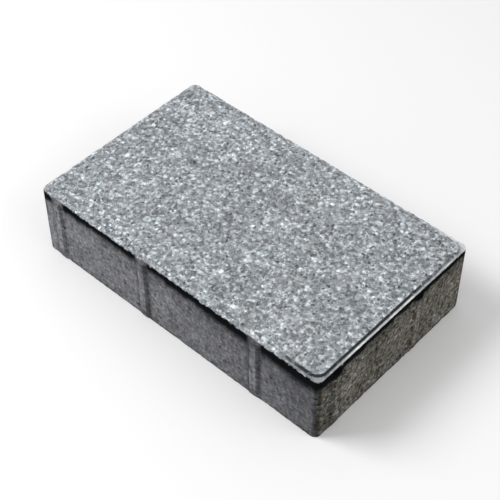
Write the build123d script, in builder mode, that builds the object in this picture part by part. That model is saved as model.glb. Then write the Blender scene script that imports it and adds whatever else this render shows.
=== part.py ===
"""A cast concrete paving stone, the long format of a laying system with three lengths in one row width.

One solid in millimetres. It lies on its bed face: the bed's middle is the origin, +X is along its
length, +Y across its width and +Z up, towards the face that is walked on.
"""
from build123d import *
import os
from math import atan2, degrees

# Laying grid: the room that one stone takes up when laid, joints included
grid_length = 260.0
grid_width = 160.0
joint_gap = 3.0

# Stone body, as cast
height = 60.0
corner_radius = 5.0

# Edge of the walked face: a level lip all round, and inside it a steep little slope up to the face
lip_width = 2.2
edge_width = 1.0
edge_drop = 1.6
edge_corner_radius = 8.0

# Spacer ribs on the four side walls, upright, from the bed to just under the lip
rib_depth = 1.5
rib_width = 11.0
rib_nose_width = 4.6
rib_below_lip = 1.5
rib_root = 3.0
long_wall_ribs = (17.0, 101.0, 203.0)
short_wall_ribs = (18.0, 102.0)

# Worked out from the sizes above
body_length = grid_length - joint_gap
body_width = grid_width - joint_gap
lip_height = height - edge_drop
rib_height = lip_height - rib_below_lip
edge_angle = degrees(atan2(edge_width, edge_drop))

# One rib, upright at the origin, with its wall along X and its nose towards -Y
with BuildPart() as rib:
    with BuildSketch():
        with BuildLine():
            Polyline(
                (-rib_width / 2, rib_root),
                (-rib_width / 2, 0),
                (-rib_nose_width / 2, -rib_depth),
                (rib_nose_width / 2, -rib_depth),
                (rib_width / 2, 0),
                (rib_width / 2, rib_root),
                close=True,
            )
        make_face()
    extrude(amount=rib_height)
    # The top of the nose falls away at 45 degrees
    with BuildSketch(Plane.YZ):
        with BuildLine():
            Polyline(
                (-rib_depth, rib_height - rib_depth),
                (0, rib_height),
                (-rib_depth, rib_height),
                close=True,
            )
        make_face()
    extrude(amount=rib_width / 2, both=True, mode=Mode.SUBTRACT)


def wall_ribs(wall_length, wall_distance, turn, places):
    """Where a wall's ribs stand: places count from the wall's left end, seen from outside."""
    wall = Location((0, 0, 0), (0, 0, turn))
    return [wall * Location((place - wall_length / 2, -wall_distance, 0)) for place in places]


rib_places = []
for half_turn in (0, 180):
    rib_places += wall_ribs(body_length, body_width / 2, half_turn, long_wall_ribs)
    rib_places += wall_ribs(body_width, body_length / 2, half_turn + 90, short_wall_ribs)

with BuildPart() as paving_stone:
    # Body up to the lip
    with BuildSketch():
        RectangleRounded(body_length, body_width, corner_radius)
    extrude(amount=lip_height)
    # Slope from the lip's inner line up to the walked face
    with BuildSketch(Plane.XY.offset(lip_height)):
        RectangleRounded(
            body_length - 2 * lip_width,
            body_width - 2 * lip_width,
            edge_corner_radius,
        )
    extrude(amount=edge_drop, taper=edge_angle)
    # Spacer ribs, the same on opposite walls after half a turn of the stone
    with Locations(*rib_places):
        add(rib.part)

os.makedirs("parts", exist_ok=True)
paving_stone.part.label = "paving_stone"
export_step(paving_stone.part, "parts/paving_stone.step")
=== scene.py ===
"""Looks of a concrete paving stone: a blasted granular face over mould-struck walls with spacer ribs."""

from math import cos, radians, sin

import bmesh
import bpy
from bpy.props import FloatProperty, FloatVectorProperty, IntProperty, PointerProperty
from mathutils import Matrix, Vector, kdtree, noise


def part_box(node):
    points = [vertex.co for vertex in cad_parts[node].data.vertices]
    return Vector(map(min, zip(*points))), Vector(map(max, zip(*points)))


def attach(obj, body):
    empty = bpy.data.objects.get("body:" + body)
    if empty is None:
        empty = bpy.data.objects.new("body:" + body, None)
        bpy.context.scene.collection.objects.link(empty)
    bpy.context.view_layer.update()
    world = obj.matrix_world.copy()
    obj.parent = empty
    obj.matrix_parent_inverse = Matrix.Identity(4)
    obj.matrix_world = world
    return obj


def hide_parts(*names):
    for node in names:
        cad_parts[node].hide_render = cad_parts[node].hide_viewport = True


bl_info = {
    "name": "Concrete Paving Stone",
    "version": (1, 0, 0),
    "blender": (4, 5, 0),
    "location": "View3D > Sidebar > Paving Stone",
    "description": "Casts a paving stone's relief and gives it its blasted and mould-struck finishes",
    "category": "Object",
}

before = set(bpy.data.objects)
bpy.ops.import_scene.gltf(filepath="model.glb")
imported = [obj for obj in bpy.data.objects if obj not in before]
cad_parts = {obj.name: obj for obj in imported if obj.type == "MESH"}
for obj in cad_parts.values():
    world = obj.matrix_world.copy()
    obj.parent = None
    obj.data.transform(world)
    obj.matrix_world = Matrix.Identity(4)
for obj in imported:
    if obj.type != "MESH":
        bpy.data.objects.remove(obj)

NODE = "paving_stone"
BODY = "root"
MM = 0.001
ACROSS, ALONG, UP = Vector((1, 0, 0)), Vector((0, 1, 0)), Vector((0, 0, 1))

# The plain cast shape that all the relief is cut into
LOW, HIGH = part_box(NODE)
RIB_DEPTH = 1.5 * MM
EDGE_DROP = 1.6 * MM
LIP_HEIGHT = HIGH.z - EDGE_DROP
WALL_X, WALL_Y = HIGH.x - RIB_DEPTH, HIGH.y - RIB_DEPTH

# How near points are taken as one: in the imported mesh, where a cut meets them, and after all cuts
SAME_POINT, ON_CUT, SLIVER = 0.001 * MM, 0.01 * MM, 0.05 * MM

# How much of a normal points up, at least: on a level face, at a vertex off the walls, on a sloped face
LEVEL_NORMAL, LEANING_NORMAL, SLOPED_NORMAL = 0.9, 0.5, 0.1

# Heights are multiplied by this where the mould has drawn a pattern out along the walls
RELIEF_DRAW, COLOUR_DRAW = 0.06, 0.05


class CastingSettings(bpy.types.PropertyGroup):
    """Sizes of the stone's mesh and relief."""

    face_pitch: FloatProperty(
        name="Face pitch",
        description="Distance between the cuts that give the face and the walls their vertices",
        default=1.0 * MM,
        unit="LENGTH",
    )
    wall_pitch: FloatProperty(
        name="Wall pitch",
        description="Height between the level cuts round the walls",
        default=1.4 * MM,
        unit="LENGTH",
    )
    bed_step: IntProperty(
        name="Bed step",
        description="The bed takes only one in so many of the cuts of the face",
        default=4,
        min=1,
    )
    grain_depth: FloatProperty(
        name="Grain depth",
        description="How far blasting has cut the paste back between the stone chips of the face",
        default=0.55 * MM,
        unit="LENGTH",
    )
    grain_size: FloatProperty(
        name="Grain size",
        description="Size of the chips that show as relief in the face",
        default=3.2 * MM,
        unit="LENGTH",
    )
    sway_depth: FloatProperty(
        name="Sway depth",
        description="Depth of the gentle waves of every cast surface",
        default=0.15 * MM,
        unit="LENGTH",
    )
    drag_depth: FloatProperty(
        name="Drag depth",
        description="Depth of the upright marks that the mould draws down the walls",
        default=0.12 * MM,
        unit="LENGTH",
    )
    pore_depth: FloatProperty(
        name="Pore depth",
        description="Depth of the open pores in the walls",
        default=0.9 * MM,
        unit="LENGTH",
    )
    foot_reach: FloatProperty(
        name="Foot reach",
        description="Height of the crumbled foot of the ribs",
        default=9.0 * MM,
        unit="LENGTH",
    )
    # Reach of the painted shade from the inward corners beside the ribs
    crease_reach: FloatProperty(
        name="Crease reach",
        description="How far dirt spreads from the inward corners beside the ribs",
        default=2.6 * MM,
        unit="LENGTH",
    )
    foot_wear: FloatProperty(
        name="Foot wear",
        description="Share of a rib that has gone at its foot",
        default=0.75,
        subtype="FACTOR",
    )
    edge_wear: FloatProperty(
        name="Edge wear",
        description="How far every outer edge is rubbed back",
        default=0.3 * MM,
        unit="LENGTH",
    )
    chip_depth: FloatProperty(
        name="Chip depth",
        description="Depth of the small chips broken out of the edges",
        default=1.1 * MM,
        unit="LENGTH",
    )
    edge_reach: FloatProperty(
        name="Edge reach",
        description="How far from an edge wear and chips are felt",
        default=2.4 * MM,
        unit="LENGTH",
    )
    seed: IntProperty(
        name="Seed",
        description="Moves every pattern of the relief to another place",
        default=7,
    )


class FinishSettings(bpy.types.PropertyGroup):
    """Colours and grain sizes of the concrete."""

    # Paste colour, which also paints shade into the hollows of the face's relief
    face_paste_and_shade: FloatVectorProperty(
        name="Face paste",
        description="Colour of the blasted paste between the chips",
        subtype="COLOR",
        default=(0.175, 0.187, 0.20),
    )
    face_tone: FloatVectorProperty(
        name="Face tone",
        description="Colour cast of all the stone chips in the face",
        subtype="COLOR",
        default=(0.995, 1.06, 1.12),
    )
    # Partly a smooth pressed skin, partly painted shade on the slope, which faces away from the key lamp
    slope_skin_and_shade: FloatVectorProperty(
        name="Slope skin",
        description="Colour of the smooth pressed slope round the face",
        subtype="COLOR",
        default=(0.022, 0.028, 0.030),
    )
    # Partly a pale smooth skin, partly a painted highlight along the level lip
    lip_skin_and_highlight: FloatVectorProperty(
        name="Lip skin",
        description="Colour of the level lip outside the slope",
        subtype="COLOR",
        default=(0.86, 0.89, 0.90),
    )
    wall_grey: FloatVectorProperty(
        name="Wall grey",
        description="Colour of the long walls",
        subtype="COLOR",
        default=(0.244, 0.247, 0.266),
    )
    # Darker and browner than the long walls
    wall_brown: FloatVectorProperty(
        name="Wall brown",
        description="Colour of the end walls, where sand and fines show",
        subtype="COLOR",
        default=(0.175, 0.170, 0.151),
    )
    # Near black: the facing mix's own dark colour, also used as painted shadow under the lip and painted
    # shade in pores, pinholes and beside the ribs
    facing_skin_and_shade: FloatVectorProperty(
        name="Facing skin",
        description="Colour of the dense dark skin of the facing mix under the edge",
        subtype="COLOR",
        default=(0.004, 0.005, 0.006),
    )
    # The band that this sets is partly the dark facing mix and partly painted shadow under the lip
    facing_height: FloatProperty(
        name="Facing height",
        description="How far the dark facing mix reaches down the walls",
        default=7.0 * MM,
        unit="LENGTH",
    )
    # Strength of the painted shade on and beside the ribs' flanks
    rib_shade: FloatProperty(
        name="Rib dirt",
        description="How much darker the flanks of the ribs are than the wall",
        default=0.55,
        subtype="FACTOR",
    )
    coarse_chip: FloatProperty(
        name="Coarse chip",
        description="Size of the largest stone chips in the face",
        default=3.3 * MM,
        unit="LENGTH",
    )
    middle_chip: FloatProperty(
        name="Middle chip",
        description="Size of the common stone chips in the face",
        default=1.9 * MM,
        unit="LENGTH",
    )
    fine_chip: FloatProperty(
        name="Fine chip",
        description="Size of the grit between the chips",
        default=1.1 * MM,
        unit="LENGTH",
    )
    sand: FloatProperty(
        name="Sand",
        description="Size of the sand grains that show in the walls",
        default=1.1 * MM,
        unit="LENGTH",
    )


class StudioSettings(bpy.types.PropertyGroup):
    """Camera, lamps and floor."""

    azimuth: FloatProperty(
        name="Azimuth",
        description="Direction of the camera round the stone, from the front towards the right",
        default=radians(42.25),
        subtype="ANGLE",
    )
    elevation: FloatProperty(
        name="Elevation",
        description="Height of the camera above the horizon",
        default=radians(47.0),
        subtype="ANGLE",
    )
    distance: FloatProperty(
        name="Distance",
        description="From the camera to the point that it looks at",
        default=0.905,
        unit="LENGTH",
    )
    aim_height: FloatProperty(
        name="Aim height",
        description="Height above the floor of the point that the camera looks at",
        default=25.0 * MM,
        unit="LENGTH",
    )
    lens: FloatProperty(
        name="Lens",
        description="Focal length of the camera",
        default=92.0,
        subtype="DISTANCE_CAMERA",
    )
    floor_colour: FloatVectorProperty(
        name="Floor colour",
        description="Colour of the floor as the camera sees it",
        subtype="COLOR",
        default=(0.97, 0.97, 0.97),
    )
    floor_bounce: FloatProperty(
        name="Floor bounce",
        description="Grey level with which the floor lights the stone from below",
        default=0.5,
        min=0.0,
        max=1.0,
    )
    world_light: FloatProperty(
        name="World light",
        description="Strength of the even light from all sides",
        default=0.5,
    )
    key_power: FloatProperty(
        name="Key power",
        description="Power of the large lamp high on the left",
        default=18.0,
        subtype="POWER",
    )
    fill_power: FloatProperty(
        name="Fill power",
        description="Power of the soft lamp on the right",
        default=5.0,
        subtype="POWER",
    )


class PavingSettings(bpy.types.PropertyGroup):
    """Everything that a user may change."""

    casting: PointerProperty(type=CastingSettings)
    finish: PointerProperty(type=FinishSettings)
    studio: PointerProperty(type=StudioSettings)


class Shade:
    """A shader socket that can stand in sums. Each operator adds a Math node to the material."""

    def __init__(self, maker, socket):
        self.maker = maker
        self.socket = socket

    def math(self, operation, *values):
        """A Math node on the given values, in order."""
        return self.maker.add("ShaderNodeMath", {"operation": operation}, dict(enumerate(values)))

    def __add__(self, other):
        return self.math("ADD", self, other)

    def __sub__(self, other):
        return self.math("SUBTRACT", self, other)

    def __rsub__(self, other):
        return self.math("SUBTRACT", other, self)

    def __mul__(self, other):
        return self.math("MULTIPLY", self, other)

    def __truediv__(self, other):
        return self.math("DIVIDE", self, other)

    def __rtruediv__(self, other):
        return self.math("DIVIDE", other, self)

    def __abs__(self):
        return self.math("ABSOLUTE", self)

    __radd__ = __add__
    __rmul__ = __mul__

    def larger(self, other):
        """The larger of two values."""
        return self.math("MAXIMUM", self, other)

    def smaller(self, other):
        """The smaller of two values."""
        return self.math("MINIMUM", self, other)

    def beside(self, output):
        """Another output of the same node."""
        return Shade(self.maker, self.socket.node.outputs[output])

    def rise(self, low, high):
        """0 below low and 1 above high, smooth in between; a high under low turns it round."""
        inputs = {"Value": self, "From Min": low, "From Max": high}
        return self.maker.add("ShaderNodeMapRange", {"interpolation_type": "SMOOTHSTEP"}, inputs)


class ShaderMaker:
    """Adds nodes to one material or world."""

    # A Mix node's places for two colours and for their blend, after those for numbers and vectors
    FIRST_COLOUR, SECOND_COLOUR, BLENDED_COLOUR = 6, 7, 2

    def __init__(self, owner):
        self.owner = owner
        owner.use_nodes = True
        self.tree = owner.node_tree
        self.tree.nodes.clear()

    def add(self, kind, settings=None, inputs=None, output=0):
        """Adds a node: its type, its settings, its sockets' values or links, and the output to give."""
        node = self.tree.nodes.new(kind)
        for name, value in (settings or {}).items():
            if name == "stops":
                self.set_stops(node.color_ramp, value)
            else:
                setattr(node, name, value)
        for name, value in (inputs or {}).items():
            if isinstance(value, Shade):
                self.tree.links.new(value.socket, node.inputs[name])
            else:
                node.inputs[name].default_value = value
        return Shade(self, node.outputs[output]) if len(node.outputs) else None

    @staticmethod
    def set_stops(ramp, stops):
        """Sets a colour ramp's stops from (place, grey level or colour) pairs."""
        while len(ramp.elements) < len(stops):
            ramp.elements.new(0.5)
        for element, (place, colour) in zip(ramp.elements, stops):
            levels = (colour,) * 3 if isinstance(colour, float) else colour
            element.position = place
            element.color = (*levels, 1.0)

    def ramp(self, value, stops):
        """A colour ramp on a value."""
        return self.add("ShaderNodeValToRGB", {"stops": stops}, {"Fac": value})

    def mix(self, share, first, second, blend="MIX"):
        """Blends two colours: first where share is 0, second where it is 1."""
        settings = {"data_type": "RGBA", "blend_type": blend}
        colours = {self.FIRST_COLOUR: as_colour(first), self.SECOND_COLOUR: as_colour(second)}
        return self.add("ShaderNodeMix", settings, {0: share, **colours}, self.BLENDED_COLOUR)

    def times(self, first, second):
        """Two colours multiplied."""
        return self.mix(1.0, first, second, "MULTIPLY")

    def scaled(self, vector, factors):
        """A vector with each part multiplied by a number of its own."""
        return self.add("ShaderNodeVectorMath", {"operation": "MULTIPLY"}, {0: vector, 1: factors})

    def noise(self, place, size, detail=2.0, roughness=0.5, output=0):
        """Soft noise whose features are about size metres wide."""
        inputs = {"Vector": place, "Scale": 1 / size, "Detail": detail, "Roughness": roughness}
        return self.add("ShaderNodeTexNoise", None, inputs, output)

    def cells(self, place, size, feature="F1"):
        """Cells about size metres wide: the distance to their middles, or to their borders."""
        inputs = {"Vector": place, "Scale": 1 / size}
        return self.add("ShaderNodeTexVoronoi", {"feature": feature}, inputs, "Distance")

    def warped(self, place, size, reach):
        """Places pushed about by noise, so that what is drawn there loses its straight edges."""
        push = self.noise(place, size, output=1)
        inputs = {0: push, 1: (reach,) * 3, 2: place}
        return self.add("ShaderNodeVectorMath", {"operation": "MULTIPLY_ADD"}, inputs)

    def parts(self, vector):
        """The three parts of a vector or colour."""
        first = self.add("ShaderNodeSeparateXYZ", None, {0: vector})
        return first, first.beside(1), first.beside(2)

    def object_place(self):
        """Places in the stone's own frame, in metres."""
        return self.add("ShaderNodeTexCoord", None, None, "Object")

    def attribute(self, name):
        """A number stored in the mesh."""
        return self.add("ShaderNodeAttribute", {"attribute_name": name}, None, "Fac")


def as_colour(value):
    """A property's colour as the four numbers that a colour socket takes; a Shade stays as it is."""
    return value if isinstance(value, Shade) else (*value, 1.0)


def merged_copy(node):
    """The node's mesh as whole faces, without the diagonals of its triangles."""
    mesh = bmesh.new()
    mesh.from_mesh(node.data)
    bmesh.ops.remove_doubles(mesh, verts=mesh.verts, dist=SAME_POINT)
    bmesh.ops.dissolve_limit(mesh, angle_limit=radians(0.5), verts=mesh.verts, edges=mesh.edges)
    return mesh


def cuts(low, high, pitch):
    """Places of evenly spaced cuts between two limits, none of them on a limit."""
    count = round((high - low) / pitch)
    return [low + (high - low) * step / count for step in range(1, count)]


def is_bed(face):
    """True for the face that the stone lies on."""
    return face.normal.z < -LEVEL_NORMAL


def above_bed(face):
    """True for every other face."""
    return not is_bed(face)


def slice_mesh(mesh, axis, places, picks):
    """Cuts the faces that picks chooses, along planes square to an axis."""
    for place in places:
        faces = [face for face in mesh.faces if picks(face)]
        bmesh.ops.bisect_plane(
            mesh,
            geom=mesh.verts[:] + mesh.edges[:] + faces,
            dist=ON_CUT,
            plane_co=axis * place,
            plane_no=axis,
        )


def grow(value, low, high):
    """0 below low and 1 above high, smooth in between."""
    share = min(max((value - low) / (high - low), 0.0), 1.0)
    return share * share * (3 - 2 * share)


def flat(vector):
    """The level part of a place or direction."""
    return Vector((vector.x, vector.y, 0.0))


def level(direction):
    """A direction's level part, of length 1; nothing where it is upright."""
    return flat(direction).normalized() if flat(direction).length > 0.1 else Vector()


def search_tree(places):
    """A tree that finds the nearest of the given places."""
    places = list(places)
    tree = kdtree.KDTree(len(places))
    for index, place in enumerate(places):
        tree.insert(place, index)
    tree.balance()
    return tree


def bent_edges(mesh, picks):
    """A search tree of the ends of edges whose bend picks chooses: above 0 outward, below it inward."""
    edges = (edge for edge in mesh.edges if len(edge.link_faces) == 2)
    bent = (edge for edge in edges if picks(edge.calc_face_angle_signed()))
    return search_tree(vert.co.copy() for edge in bent for vert in edge.verts)


# How far one step of the seed moves the patterns, as a share of their features
SEED_STEP = 0.37


class StoneRelief:
    """How far each point of the stone's surface lies under the plain cast shape, in metres."""

    def __init__(self, settings, mesh):
        self.settings = settings
        self.shift = Vector((settings.seed, -settings.seed, settings.seed)) * SEED_STEP
        self.edges = bent_edges(mesh, lambda bend: bend > radians(30))
        self.creases = bent_edges(mesh, lambda bend: bend < radians(-15))
        on_noses = (vert.co for vert in mesh.verts if self.stands_out(vert.co) > 0.8 * RIB_DEPTH)
        self.ribs = search_tree(flat(place) for place in on_noses)

    def noise(self, place, size):
        """Noise from -1 to 1 with features about size metres wide."""
        return noise.noise(place / size + self.shift)

    def soft(self, place, size):
        """The same noise, from 0 to 1."""
        return 0.5 + 0.5 * self.noise(place, size)

    def blasted(self, place):
        """Chips stand out of the paste that blasting has cut back."""
        near = noise.voronoi(place / self.settings.grain_size + self.shift)[0][0]
        fine = self.noise(place, 1.7 * MM)
        return self.settings.grain_depth * (0.25 + 0.6 * grow(near, 0.15, 0.75) + 0.15 * fine)

    def struck(self, place):
        """Upright drag marks and fine roughness of a wall drawn out of its mould."""
        drawn = Vector((place.x, place.y, place.z * RELIEF_DRAW))
        drag = abs(self.noise(drawn, 2.6 * MM))
        return self.settings.drag_depth * (drag + 0.8 * self.soft(place, 2.2 * MM))

    def pore(self, place):
        """1 in the middle of an open pore, 0 outside."""
        near = noise.voronoi(place / (7 * MM) + self.shift)[0][0]
        few = grow(self.noise(place, 19 * MM), 0.05, 0.3)
        return (1 - grow(near, 0.06, 0.2)) * few

    def stands_out(self, place):
        """How far a point lies in front of the wall that carries the spacer ribs."""
        return max(abs(place.x) - WALL_X, abs(place.y) - WALL_Y, 0.0)

    def rib(self, place):
        """1 on a spacer rib and right above it, 0 beside it."""
        return 1 - grow(self.ribs.find(flat(place))[2], 2.0 * MM, 4.0 * MM)

    def foot_loss(self, place):
        """How far the foot of a spacer rib has crumbled back towards its wall."""
        crumbled = 1 - grow(place.z, 0.0, self.settings.foot_reach)
        return self.stands_out(place) * crumbled * self.settings.foot_wear

    def sway(self, place):
        """Gentle waves, never above the plain shape."""
        return self.settings.sway_depth * self.soft(place, 34 * MM)

    def crease(self, place):
        """1 in an inward corner, 0 a few millimetres away from one."""
        return 1 - grow(self.creases.find(place)[2], 0.3 * MM, self.settings.crease_reach)

    def edge_loss(self, place):
        """What an edge has lost: the depth that wear has rubbed off, and the share of a chip, 0 to 1."""
        felt = 1 - grow(self.edges.find(place)[2], 0.0, self.settings.edge_reach)
        if felt <= 0:
            return 0.0, 0.0
        chip = grow(self.noise(place, 5 * MM), 0.2, 0.5) * (0.65 + 0.35 * self.noise(place, 1.6 * MM))
        chip *= 0.35 + 0.65 * grow(place.z, 2 * MM, 10 * MM)
        rub = 0.6 + 0.6 * self.noise(place, 2.5 * MM)
        return felt * self.settings.edge_wear * rub, felt * chip


# The stone's four finishes, which are its material slots
FACE, EDGE, WALL, BED = range(4)


def zone_of(face):
    """Which finish a face of the plain shape takes."""
    if is_bed(face):
        return BED
    middle = face.calc_center_median().z
    if middle < LIP_HEIGHT - SLIVER:
        return WALL
    return FACE if middle > HIGH.z - SLIVER else EDGE


def cut_fine(mesh, settings):
    """Cuts the plain shape into small faces, with larger ones on the bed."""
    for axis, low, high in ((ACROSS, LOW.x, HIGH.x), (ALONG, LOW.y, HIGH.y)):
        places = cuts(low, high, settings.face_pitch)
        slice_mesh(mesh, axis, places, above_bed)
        slice_mesh(mesh, axis, places[::settings.bed_step], is_bed)
    slice_mesh(mesh, UP, cuts(LOW.z, LIP_HEIGHT, settings.wall_pitch), above_bed)
    slice_mesh(mesh, UP, cuts(LIP_HEIGHT, HIGH.z, EDGE_DROP / 2), above_bed)
    bmesh.ops.remove_doubles(mesh, verts=mesh.verts, dist=SLIVER)
    many_sided = [face for face in mesh.faces if len(face.verts) > 4]
    bmesh.ops.triangulate(mesh, faces=many_sided, ngon_method="BEAUTY")
    mesh.normal_update()


def mark_finishes(mesh, slope):
    """Gives every face its finish, and marks the vertices of the slope round the walked face."""
    for face in mesh.faces:
        face.smooth = True
        face.material_index = zone_of(face)
        if face.material_index == EDGE and SLOPED_NORMAL < face.normal.z < LEVEL_NORMAL:
            for vert in face.verts:
                vert[slope] = 1.0


def shaped_stone(settings):
    """The stone's mesh: the plain cast shape, cut fine and worked into relief."""
    mesh = merged_copy(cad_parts[NODE])
    cut_fine(mesh, settings)
    relief = StoneRelief(settings, mesh)
    names = ("hollow", "pore", "slope", "broken", "crease", "rib")
    hollow, pore, slope, broken, crease, rib = map(mesh.verts.layers.float.new, names)
    mark_finishes(mesh, slope)
    moves = []
    for vert in mesh.verts:
        place, up = vert.co.copy(), vert.normal.z
        depth = relief.sway(place)
        vert[rib] = relief.rib(place)
        if up > LEANING_NORMAL:
            cut = relief.blasted(place)
            vert[hollow] = cut / settings.grain_depth
            depth += cut
        elif up > -LEANING_NORMAL:
            vert[pore] = relief.pore(place)
            vert[crease] = relief.crease(place)
            depth += relief.struck(place) + settings.pore_depth * vert[pore]
        worn, vert[broken] = relief.edge_loss(place)
        depth += worn + settings.chip_depth * vert[broken]
        moves.append((vert, vert.normal * -depth - level(vert.normal) * relief.foot_loss(place)))
    for vert, move in moves:
        vert.co += move
    return mesh


# Stops of the colour ramps that shade paste and grains: pairs of a place and a grey level or colour
STONE_SHADES = (
    (0.0, 0.07), (0.1, 0.18), (0.25, 0.38), (0.5, 0.56), (0.75, 0.72), (0.9, 0.88), (1.0, 0.97),
)
PASTE_SHADES = ((0.3, 0.15), (0.5, 0.36), (0.7, 0.62))
COARSE_SHADES = ((0.0, 0.24), (0.3, 0.42), (0.7, 0.64), (1.0, 0.92))
GRIT_SHADES = ((0.0, 0.13), (0.25, 0.34), (0.7, 0.62), (1.0, 0.93))
STONE_TINTS = ((0.0, (1.03, 0.98, 0.955)), (0.4, (1.0, 1.0, 1.0)), (1.0, (0.94, 1.0, 1.03)))
SAND_SHADES = ((0.0, 0.3), (0.25, 0.7), (0.6, 1.05), (0.85, 1.5), (1.0, 2.2))
PEBBLE_SHADES = ((0.0, (0.025, 0.022, 0.02)), (0.5, (0.15, 0.125, 0.10)), (1.0, (0.46, 0.44, 0.40)))
WARM_TINTS = ((0.38, (1.16, 1.0, 0.84)), (0.6, (0.92, 0.98, 1.05)))

# Soft lighter and darker patches: pairs of a patch's size and its strength
FACE_PATCHES = ((45 * MM, 0.2), (11 * MM, 0.3), (3.2 * MM, 1.0))
WALL_PATCHES = ((34 * MM, 0.35), (9 * MM, 0.38))
DRAG_PATCHES = ((3 * MM, 0.2), (14 * MM, 0.16))
BED_PATCHES = ((40 * MM, 0.15), (9 * MM, 0.15))

# What shows in the walls: sizes, and the share of places that hold one
SAND_SHARE = 0.7
WALL_GRIT, WALL_GRIT_SHARE = 2.1 * MM, 0.35
PEBBLE, PEBBLE_SHARE = 3.0 * MM, 0.05
PINHOLE_PITCH = 2.6 * MM


def crushed(make, place, size, share):
    """Crushed stones of one size: where they lie, their height, and two lots from 0 to 1 for each."""
    spot = make.warped(place, size * 0.5, size * 0.55)
    chance, lot, turn = make.parts(make.cells(spot, size).beside("Color"))
    border = make.cells(spot, size, "DISTANCE_TO_EDGE")
    chosen = chance.rise(1 - share - 0.01, 1 - share + 0.01)
    dome = border.rise(0.0, 0.35) * 0.6 + turn * 0.4
    return chosen * border.rise(0.01, 0.09), dome, lot, turn


def tinted(make, lot, shades, turn):
    """A stone's own colour: a shade by one lot and a tint by the other."""
    return make.times(make.ramp(lot, shades), make.ramp(turn, STONE_TINTS))


def speckled(make, place, settings):
    """Colour and height of crushed stone in paste, with stones of three sizes."""
    grit = make.noise(place, 0.55 * MM, 3.0)
    colour = make.ramp(grit, PASTE_SHADES)
    height = grit * 0.25
    # A size of stone, the share of places that hold one, its shades and how far it stands out
    layers = (
        (settings.fine_chip, 0.85, GRIT_SHADES, 0.5),
        (settings.middle_chip, 0.6, STONE_SHADES, 0.9),
        (settings.coarse_chip, 0.2, COARSE_SHADES, 1.2),
    )
    for size, share, shades, stands in layers:
        lies, dome, lot, turn = crushed(make, place, size, share)
        colour = make.mix(lies, colour, tinted(make, lot, shades, turn))
        height = height * (1 - lies) + lies * (dome * stands + 0.2)
    return colour, height + make.noise(place, 0.35 * MM, 2.0) * 0.3


def mottled(make, place, colour, patches):
    """A colour made a little lighter and darker in soft patches."""
    for size, strength in patches:
        patch = make.noise(place, size, 1.0) * (2 * strength) + (1 - strength)
        colour = make.times(colour, patch)
    return colour


def finished(make, colour, roughness, height, relief, gloss=0.3):
    """Closes a material: a rough surface of that colour with that fine relief, relief metres high."""
    bump = {"Height": height, "Distance": relief, "Strength": 1.0}
    surface = {
        "Base Color": colour,
        "Roughness": roughness,
        "Specular IOR Level": gloss,
        "Normal": make.add("ShaderNodeBump", None, bump),
    }
    shader = make.add("ShaderNodeBsdfPrincipled", None, surface)
    make.add("ShaderNodeOutputMaterial", None, {"Surface": shader})
    return make.owner


def face_look(make, place, settings):
    """Colour and height of the blasted facing concrete."""
    colour, height = speckled(make, place, settings)
    colour = make.times(colour, settings.face_tone)
    colour = mottled(make, place, colour, FACE_PATCHES)
    # The hollows of the relief take the paste colour: paste and painted shade in them
    hollow = make.attribute("hollow").rise(0.3, 0.95)
    return make.mix(hollow * 0.55, colour, settings.face_paste_and_shade), height


def blasted_face(settings):
    """The walked face: stone chips in paste, cut back by blasting."""
    make = ShaderMaker(bpy.data.materials.new("blasted_face"))
    colour, height = face_look(make, make.object_place(), settings)
    return finished(make, colour, 0.95 - height * 0.2, height, 0.7 * MM)


def pressed_edge(settings):
    """The rim of the face: at the right end a dark slope with painted shade and a pale lip with a painted
    highlight, and crumbled stone elsewhere.
    """
    make = ShaderMaker(bpy.data.materials.new("pressed_edge"))
    place = make.object_place()
    x, y, _ = make.parts(place)
    stone, height = face_look(make, place, settings)
    stone = make.mix(make.attribute("broken") * 0.6, stone, settings.lip_skin_and_highlight)
    patch = make.noise(place, 8 * MM, 3.0)
    at_end = (x + patch * (26 * MM)).rise(HIGH.x - 25 * MM, HIGH.x - 5 * MM)
    worn = make.noise(place, 3 * MM, 2.0).rise(0.62, 0.72) * 0.6
    faded = (y + patch * (40 * MM)).rise(35 * MM, 85 * MM) * 0.8
    pressed = at_end * (1 - worn) * (1 - faded)
    # The slope's painted shade
    dark = make.mix(pressed, stone, settings.slope_skin_and_shade)
    # The lip's painted highlight, in patches and weaker towards the front
    bright = make.noise(place, 13 * MM, 3.0).rise(0.35, 0.65) * 0.5 + 0.5
    bright = bright * (y.rise(LOW.y, LOW.y + 35 * MM) * 0.6 + 0.4)
    lip = make.times(settings.lip_skin_and_highlight, bright)
    pale = make.mix(at_end * (patch.rise(0.3, 0.6) * 0.45 + 0.5), stone, lip)
    colour = make.mix(make.attribute("slope"), pale, dark)
    return finished(make, colour, 0.92 - pressed * 0.3, height, 0.35 * MM)


class WallMap:
    """Where a point lies on the walls, as shader values that their finishes share."""

    def __init__(self, make):
        self.place = make.object_place()
        self.x, self.y, self.z = make.parts(self.place)
        across, along = abs(self.x) - WALL_X, abs(self.y) - WALL_Y
        self.out = across.larger(along)
        # 1 on the rounded upright corners, which are painted darker as shade
        self.corner = across.smaller(along).rise(-5 * MM, -2 * MM)
        self.at_end = abs(self.x).rise(WALL_X - 3 * MM, WALL_X - 1 * MM)
        self.below_lip = LIP_HEIGHT - self.z


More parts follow.
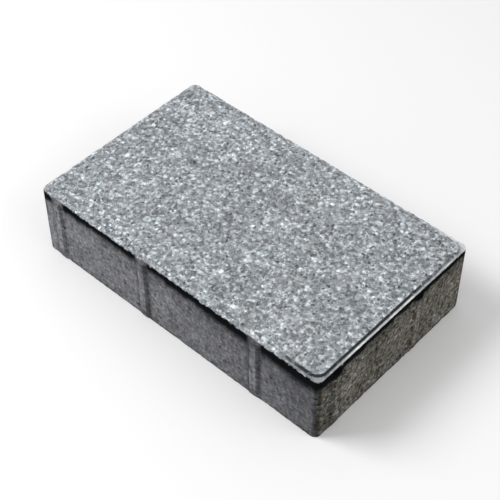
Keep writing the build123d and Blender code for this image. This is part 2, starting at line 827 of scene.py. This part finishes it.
def sandy_concrete(make, wall, settings):
    """Colour and height of the walls' concrete: sand, grit, a few pebbles and pinholes in paste."""
    place = wall.place
    colour = make.mix(wall.at_end, settings.wall_grey, settings.wall_brown)
    height = make.noise(place, 0.5 * MM, 4.0, 0.65)
    for size, share in ((settings.sand, SAND_SHARE), (WALL_GRIT, WALL_GRIT_SHARE)):
        lies, dome, lot, turn = crushed(make, place, size, share)
        grain = make.times(colour, tinted(make, lot, SAND_SHADES, turn))
        colour = make.mix(lies * (wall.at_end * 0.5 + 0.35), colour, grain)
        height = height + lies * dome * 0.35
    lies, _, lot, _ = crushed(make, place, PEBBLE, PEBBLE_SHARE)
    colour = make.mix(lies * 0.6, colour, make.ramp(lot, PEBBLE_SHADES))
    # Pinholes, with painted shade in them: they are mixed towards the near-black skin colour
    pit = make.cells(place, PINHOLE_PITCH).rise(0.24, 0.12) * make.noise(place, 12 * MM).rise(0.45, 0.6)
    colour = make.mix(pit * 0.7, colour, settings.facing_skin_and_shade)
    warm = make.times(colour, make.ramp(make.noise(place, 3 * MM, 2.0), WARM_TINTS))
    return make.mix(wall.at_end * 0.7 + 0.15, colour, warm), height - pit


def clouded(make, wall, colour):
    """Drag marks, clouds and the wide shading of the walls: paler low down, but darker at the foot."""
    drawn = make.scaled(wall.place, (1, 1, COLOUR_DRAW))
    colour = mottled(make, drawn, colour, DRAG_PATCHES)
    fine = wall.at_end * 0.7 + 0.85
    colour = mottled(make, wall.place, colour, (*WALL_PATCHES, (3 * MM, fine)))
    low = (HIGH.z - wall.z).rise(4 * MM, 26 * MM)
    lean = wall.x.rise(LOW.x, HIGH.x) * (1 - wall.at_end)
    near = wall.y.rise(LOW.y + 26 * MM, LOW.y + 8 * MM) * wall.at_end
    foot = wall.z.rise(3.5 * MM, 0.5 * MM)
    shading = (low * 0.45 + 0.75) * (1.06 - lean * 0.34) * (1 - near * 0.24) * (1 - foot * 0.3)
    return make.times(colour, shading)


def painted_rib_and_corner_light(make, wall, colour, settings):
    """Painted shade on the rounded upright corners and on and beside the ribs' flanks, and painted
    highlights on the rib noses of the long walls.
    """
    # Painted shade on the rounded upright corners
    colour = make.times(colour, 1 - wall.corner * 0.5)
    # Painted shade on the ribs' flanks and in the inward corners beside them, kept off the top few
    # millimetres under the lip
    off_nose = wall.out.rise(RIB_DEPTH - 0.15 * MM, RIB_DEPTH - 0.5 * MM)
    flank = wall.out.rise(-0.25 * MM, 0.15 * MM) * off_nose
    under = wall.below_lip.rise(1.5 * MM, 4.5 * MM)
    crease_shade = (flank * 0.6 + make.attribute("crease") * 0.4) * under * settings.rib_shade
    colour = make.mix(crease_shade, colour, settings.facing_skin_and_shade)
    # Painted highlight on the rib noses of the long walls
    nose_highlight = wall.out.rise(RIB_DEPTH - 0.5 * MM, RIB_DEPTH - 0.1 * MM) * (1 - wall.at_end) * 0.2 + 1
    return make.times(colour, nose_highlight)


def facing_and_shadow_mask(make, wall, settings):
    """Where the dark facing mix and the painted shadow under the lip cover a wall: from the lip down to a
    soft ragged line.
    """
    # The band with its painted shadow is deeper near the front right corner and shallower on the end
    # walls
    at_corner = wall.x.rise(-30 * MM, HIGH.x) * wall.y.rise(-20 * MM, LOW.y)
    height = (at_corner * 0.6 + 0.95) * (1 - wall.at_end * 0.15) * settings.facing_height
    ragged = make.noise(make.scaled(wall.place, (1, 1, 0.4)), 9 * MM, 4.0) * (6 * MM) - 3 * MM
    skin = 1 - ((wall.below_lip + ragged) / height).rise(0.6, 1.55 - wall.at_end * 0.4)
    # On the long walls the ribs break the band and its painted shadow
    return skin * (1 - make.attribute("rib") * (1 - wall.at_end) * 0.95)


def bared_mask(make, wall):
    """Where the stone of the face shows on a wall: along its crumbled upper edge and in fresh chips."""
    crumbs = make.noise(wall.place, 3.5 * MM, 3.0) * (5 * MM) - 1.6 * MM
    crisp = wall.x.rise(WALL_X - 3 * MM, WALL_X - 1 * MM)
    crumbled = (wall.below_lip - crumbs).rise(0.3 * MM, -0.5 * MM) * (1 - crisp)
    chipped = make.attribute("broken").rise(0.25, 0.6) * (1 - make.attribute("rib")) * 0.8
    return crumbled.larger(chipped)


def struck_wall(settings):
    """The walls: mould-struck concrete, sandy at the ends, with the dark facing skin and a painted shadow
    along the top.
    """
    make = ShaderMaker(bpy.data.materials.new("struck_wall"))
    wall = WallMap(make)
    colour, height = sandy_concrete(make, wall, settings)
    colour = clouded(make, wall, colour)
    colour = painted_rib_and_corner_light(make, wall, colour, settings)
    # The facing band: partly dark facing mix, partly painted shadow under the lip
    skin = facing_and_shadow_mask(make, wall, settings)
    # The pores are painted near black as the shade in them
    for share in (skin, make.attribute("pore") * 0.85):
        colour = make.mix(share, colour, settings.facing_skin_and_shade)
    stone, stone_height = face_look(make, wall.place, settings)
    bared = bared_mask(make, wall)
    colour = make.mix(bared, colour, stone)
    height = height * (1 - bared) + stone_height * bared
    rough = make.noise(wall.place, 5 * MM, 3.0) * 0.2 + 0.8 - skin * 0.1
    return finished(make, colour, rough, height, 0.6 * MM, gloss=0.02)


def rough_bed(settings):
    """The underside, as it left the board: plain grey concrete."""
    make = ShaderMaker(bpy.data.materials.new("rough_bed"))
    place = make.object_place()
    stone, height = speckled(make, place, settings)
    colour = make.mix(0.2, settings.wall_grey, stone)
    colour = mottled(make, place, colour, BED_PATCHES)
    return finished(make, colour, make.noise(place, 9 * MM, 3.0) * 0.15 + 0.85, height, 0.5 * MM)


# In the order of FACE, EDGE, WALL and BED
FINISHES = (blasted_face, pressed_edge, struck_wall, rough_bed)


class PAVING_OT_cast_stone(bpy.types.Operator):
    """Casts the paving stone: its relief, its worn edges and its concrete"""

    bl_idname = "paving.cast_stone"
    bl_label = "Cast paving stone"

    def execute(self, context):
        settings = context.scene.paving
        mesh = bpy.data.meshes.new("cast_stone")
        shape = shaped_stone(settings.casting)
        shape.to_mesh(mesh)
        shape.free()
        for finish in FINISHES:
            mesh.materials.append(finish(settings.finish))
        stone = bpy.data.objects.new("cast_stone", mesh)
        context.scene.collection.objects.link(stone)
        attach(stone, BODY)
        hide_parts(NODE)
        return {"FINISHED"}


def aimed(thing, target):
    """Turns a camera or lamp towards a point."""
    thing.rotation_euler = (target - thing.location).to_track_quat("-Z", "Y").to_euler()
    return thing


def linked(name, data, place):
    """A new object in the scene at a place."""
    thing = bpy.data.objects.new(name, data)
    thing.location = place
    bpy.context.scene.collection.objects.link(thing)
    return thing


def soft_lamp(name, place, target, size, power):
    """A square area lamp that looks at a point."""
    data = bpy.data.lights.new(name, "AREA")
    data.size = size
    data.energy = power
    return aimed(linked(name, data, place), target)


def seen(make):
    """1 for what the camera sees, also by a reflection or through glass, and 0 for light on the stone."""
    camera = make.add("ShaderNodeLightPath", None, None, "Is Camera Ray")
    return camera.larger(camera.beside("Is Glossy Ray")).larger(camera.beside("Is Transmission Ray"))


def pale_world(settings):
    """An even world, as bright as the far floor, so that no horizon shows."""
    make = ShaderMaker(bpy.data.worlds.new("pale_world"))
    even = {"Color": (1.0, 1.0, 1.0, 1.0), "Strength": settings.world_light}
    light = make.add("ShaderNodeBackground", None, even)
    make.add("ShaderNodeOutputWorld", None, {"Surface": light})
    return make.owner


def pale_floor(settings):
    """A plain floor that the camera sees nearly white and that throws back less light than it shows."""
    make = ShaderMaker(bpy.data.materials.new("pale_floor"))
    dull = (settings.floor_bounce,) * 3
    colour = make.mix(seen(make), dull, settings.floor_colour)
    shader = make.add("ShaderNodeBsdfPrincipled", None, {"Base Color": colour, "Roughness": 1.0})
    make.add("ShaderNodeOutputMaterial", None, {"Surface": shader})
    return make.owner


# The floor's reach from its middle, and where the lamps are and how wide
FLOOR_REACH = 4.0
KEY_PLACE, KEY_SIZE = Vector((-0.9, -0.7, 1.3)), 0.8
FILL_PLACE, FILL_SIZE = Vector((1.2, 0.2, 0.9)), 1.2


class PAVING_OT_studio(bpy.types.Operator):
    """Sets up the pale floor, the soft lamps and the camera"""

    bl_idname = "paving.studio"
    bl_label = "Set up studio"

    def execute(self, context):
        settings = context.scene.paving.studio
        target = Vector((0.0, 0.0, settings.aim_height))
        self.floor(settings)
        self.camera(context.scene, settings, target)
        self.light(context.scene, settings, target)
        return {"FINISHED"}

    def floor(self, settings):
        """A level sheet under the stone."""
        mesh = bmesh.new()
        bmesh.ops.create_grid(mesh, x_segments=1, y_segments=1, size=FLOOR_REACH)
        data = bpy.data.meshes.new("floor")
        mesh.to_mesh(data)
        mesh.free()
        data.materials.append(pale_floor(settings))
        linked("floor", data, (0, 0, 0))

    def camera(self, scene, settings, target):
        """The camera, at its distance and angles from the point that it looks at."""
        data = bpy.data.cameras.new("camera")
        data.lens = settings.lens
        away = settings.distance * cos(settings.elevation)
        rise = settings.distance * sin(settings.elevation)
        back = Vector((away * sin(settings.azimuth), -away * cos(settings.azimuth), rise))
        scene.camera = aimed(linked("camera", data, target + back), target)

    def light(self, scene, settings, target):
        """Even light from all sides, a key lamp and a fill lamp."""
        scene.world = pale_world(settings)
        soft_lamp("key", KEY_PLACE, target, KEY_SIZE, settings.key_power)
        soft_lamp("fill", FILL_PLACE, target, FILL_SIZE, settings.fill_power)
        scene.view_settings.view_transform = "Standard"


class PAVING_PT_panel(bpy.types.Panel):
    """Lists the stone's settings and the two steps that make the scene"""

    bl_label = "Paving stone"
    bl_idname = "PAVING_PT_panel"
    bl_space_type = "VIEW_3D"
    bl_region_type = "UI"
    bl_category = "Paving Stone"

    def draw(self, context):
        settings = context.scene.paving
        for title, group, step in (
            ("Casting", settings.casting, None),
            ("Finish", settings.finish, PAVING_OT_cast_stone.bl_idname),
            ("Studio", settings.studio, PAVING_OT_studio.bl_idname),
        ):
            box = self.layout.box()
            box.label(text=title)
            for name in group.__annotations__:
                box.prop(group, name)
            if step:
                box.operator(step)


CLASSES = (
    CastingSettings,
    FinishSettings,
    StudioSettings,
    PavingSettings,
    PAVING_OT_cast_stone,
    PAVING_OT_studio,
    PAVING_PT_panel,
)


def register():
    """Adds the classes, and the settings to every scene."""
    for cls in CLASSES:
        bpy.utils.register_class(cls)
    bpy.types.Scene.paving = PointerProperty(type=PavingSettings)


def unregister():
    """Takes them away again."""
    del bpy.types.Scene.paving
    for cls in reversed(CLASSES):
        bpy.utils.unregister_class(cls)


def main():
    """Makes the stone and the studio."""
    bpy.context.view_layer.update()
    register()
    bpy.ops.paving.cast_stone()
    bpy.ops.paving.studio()


if __name__ == "__main__":
    main()
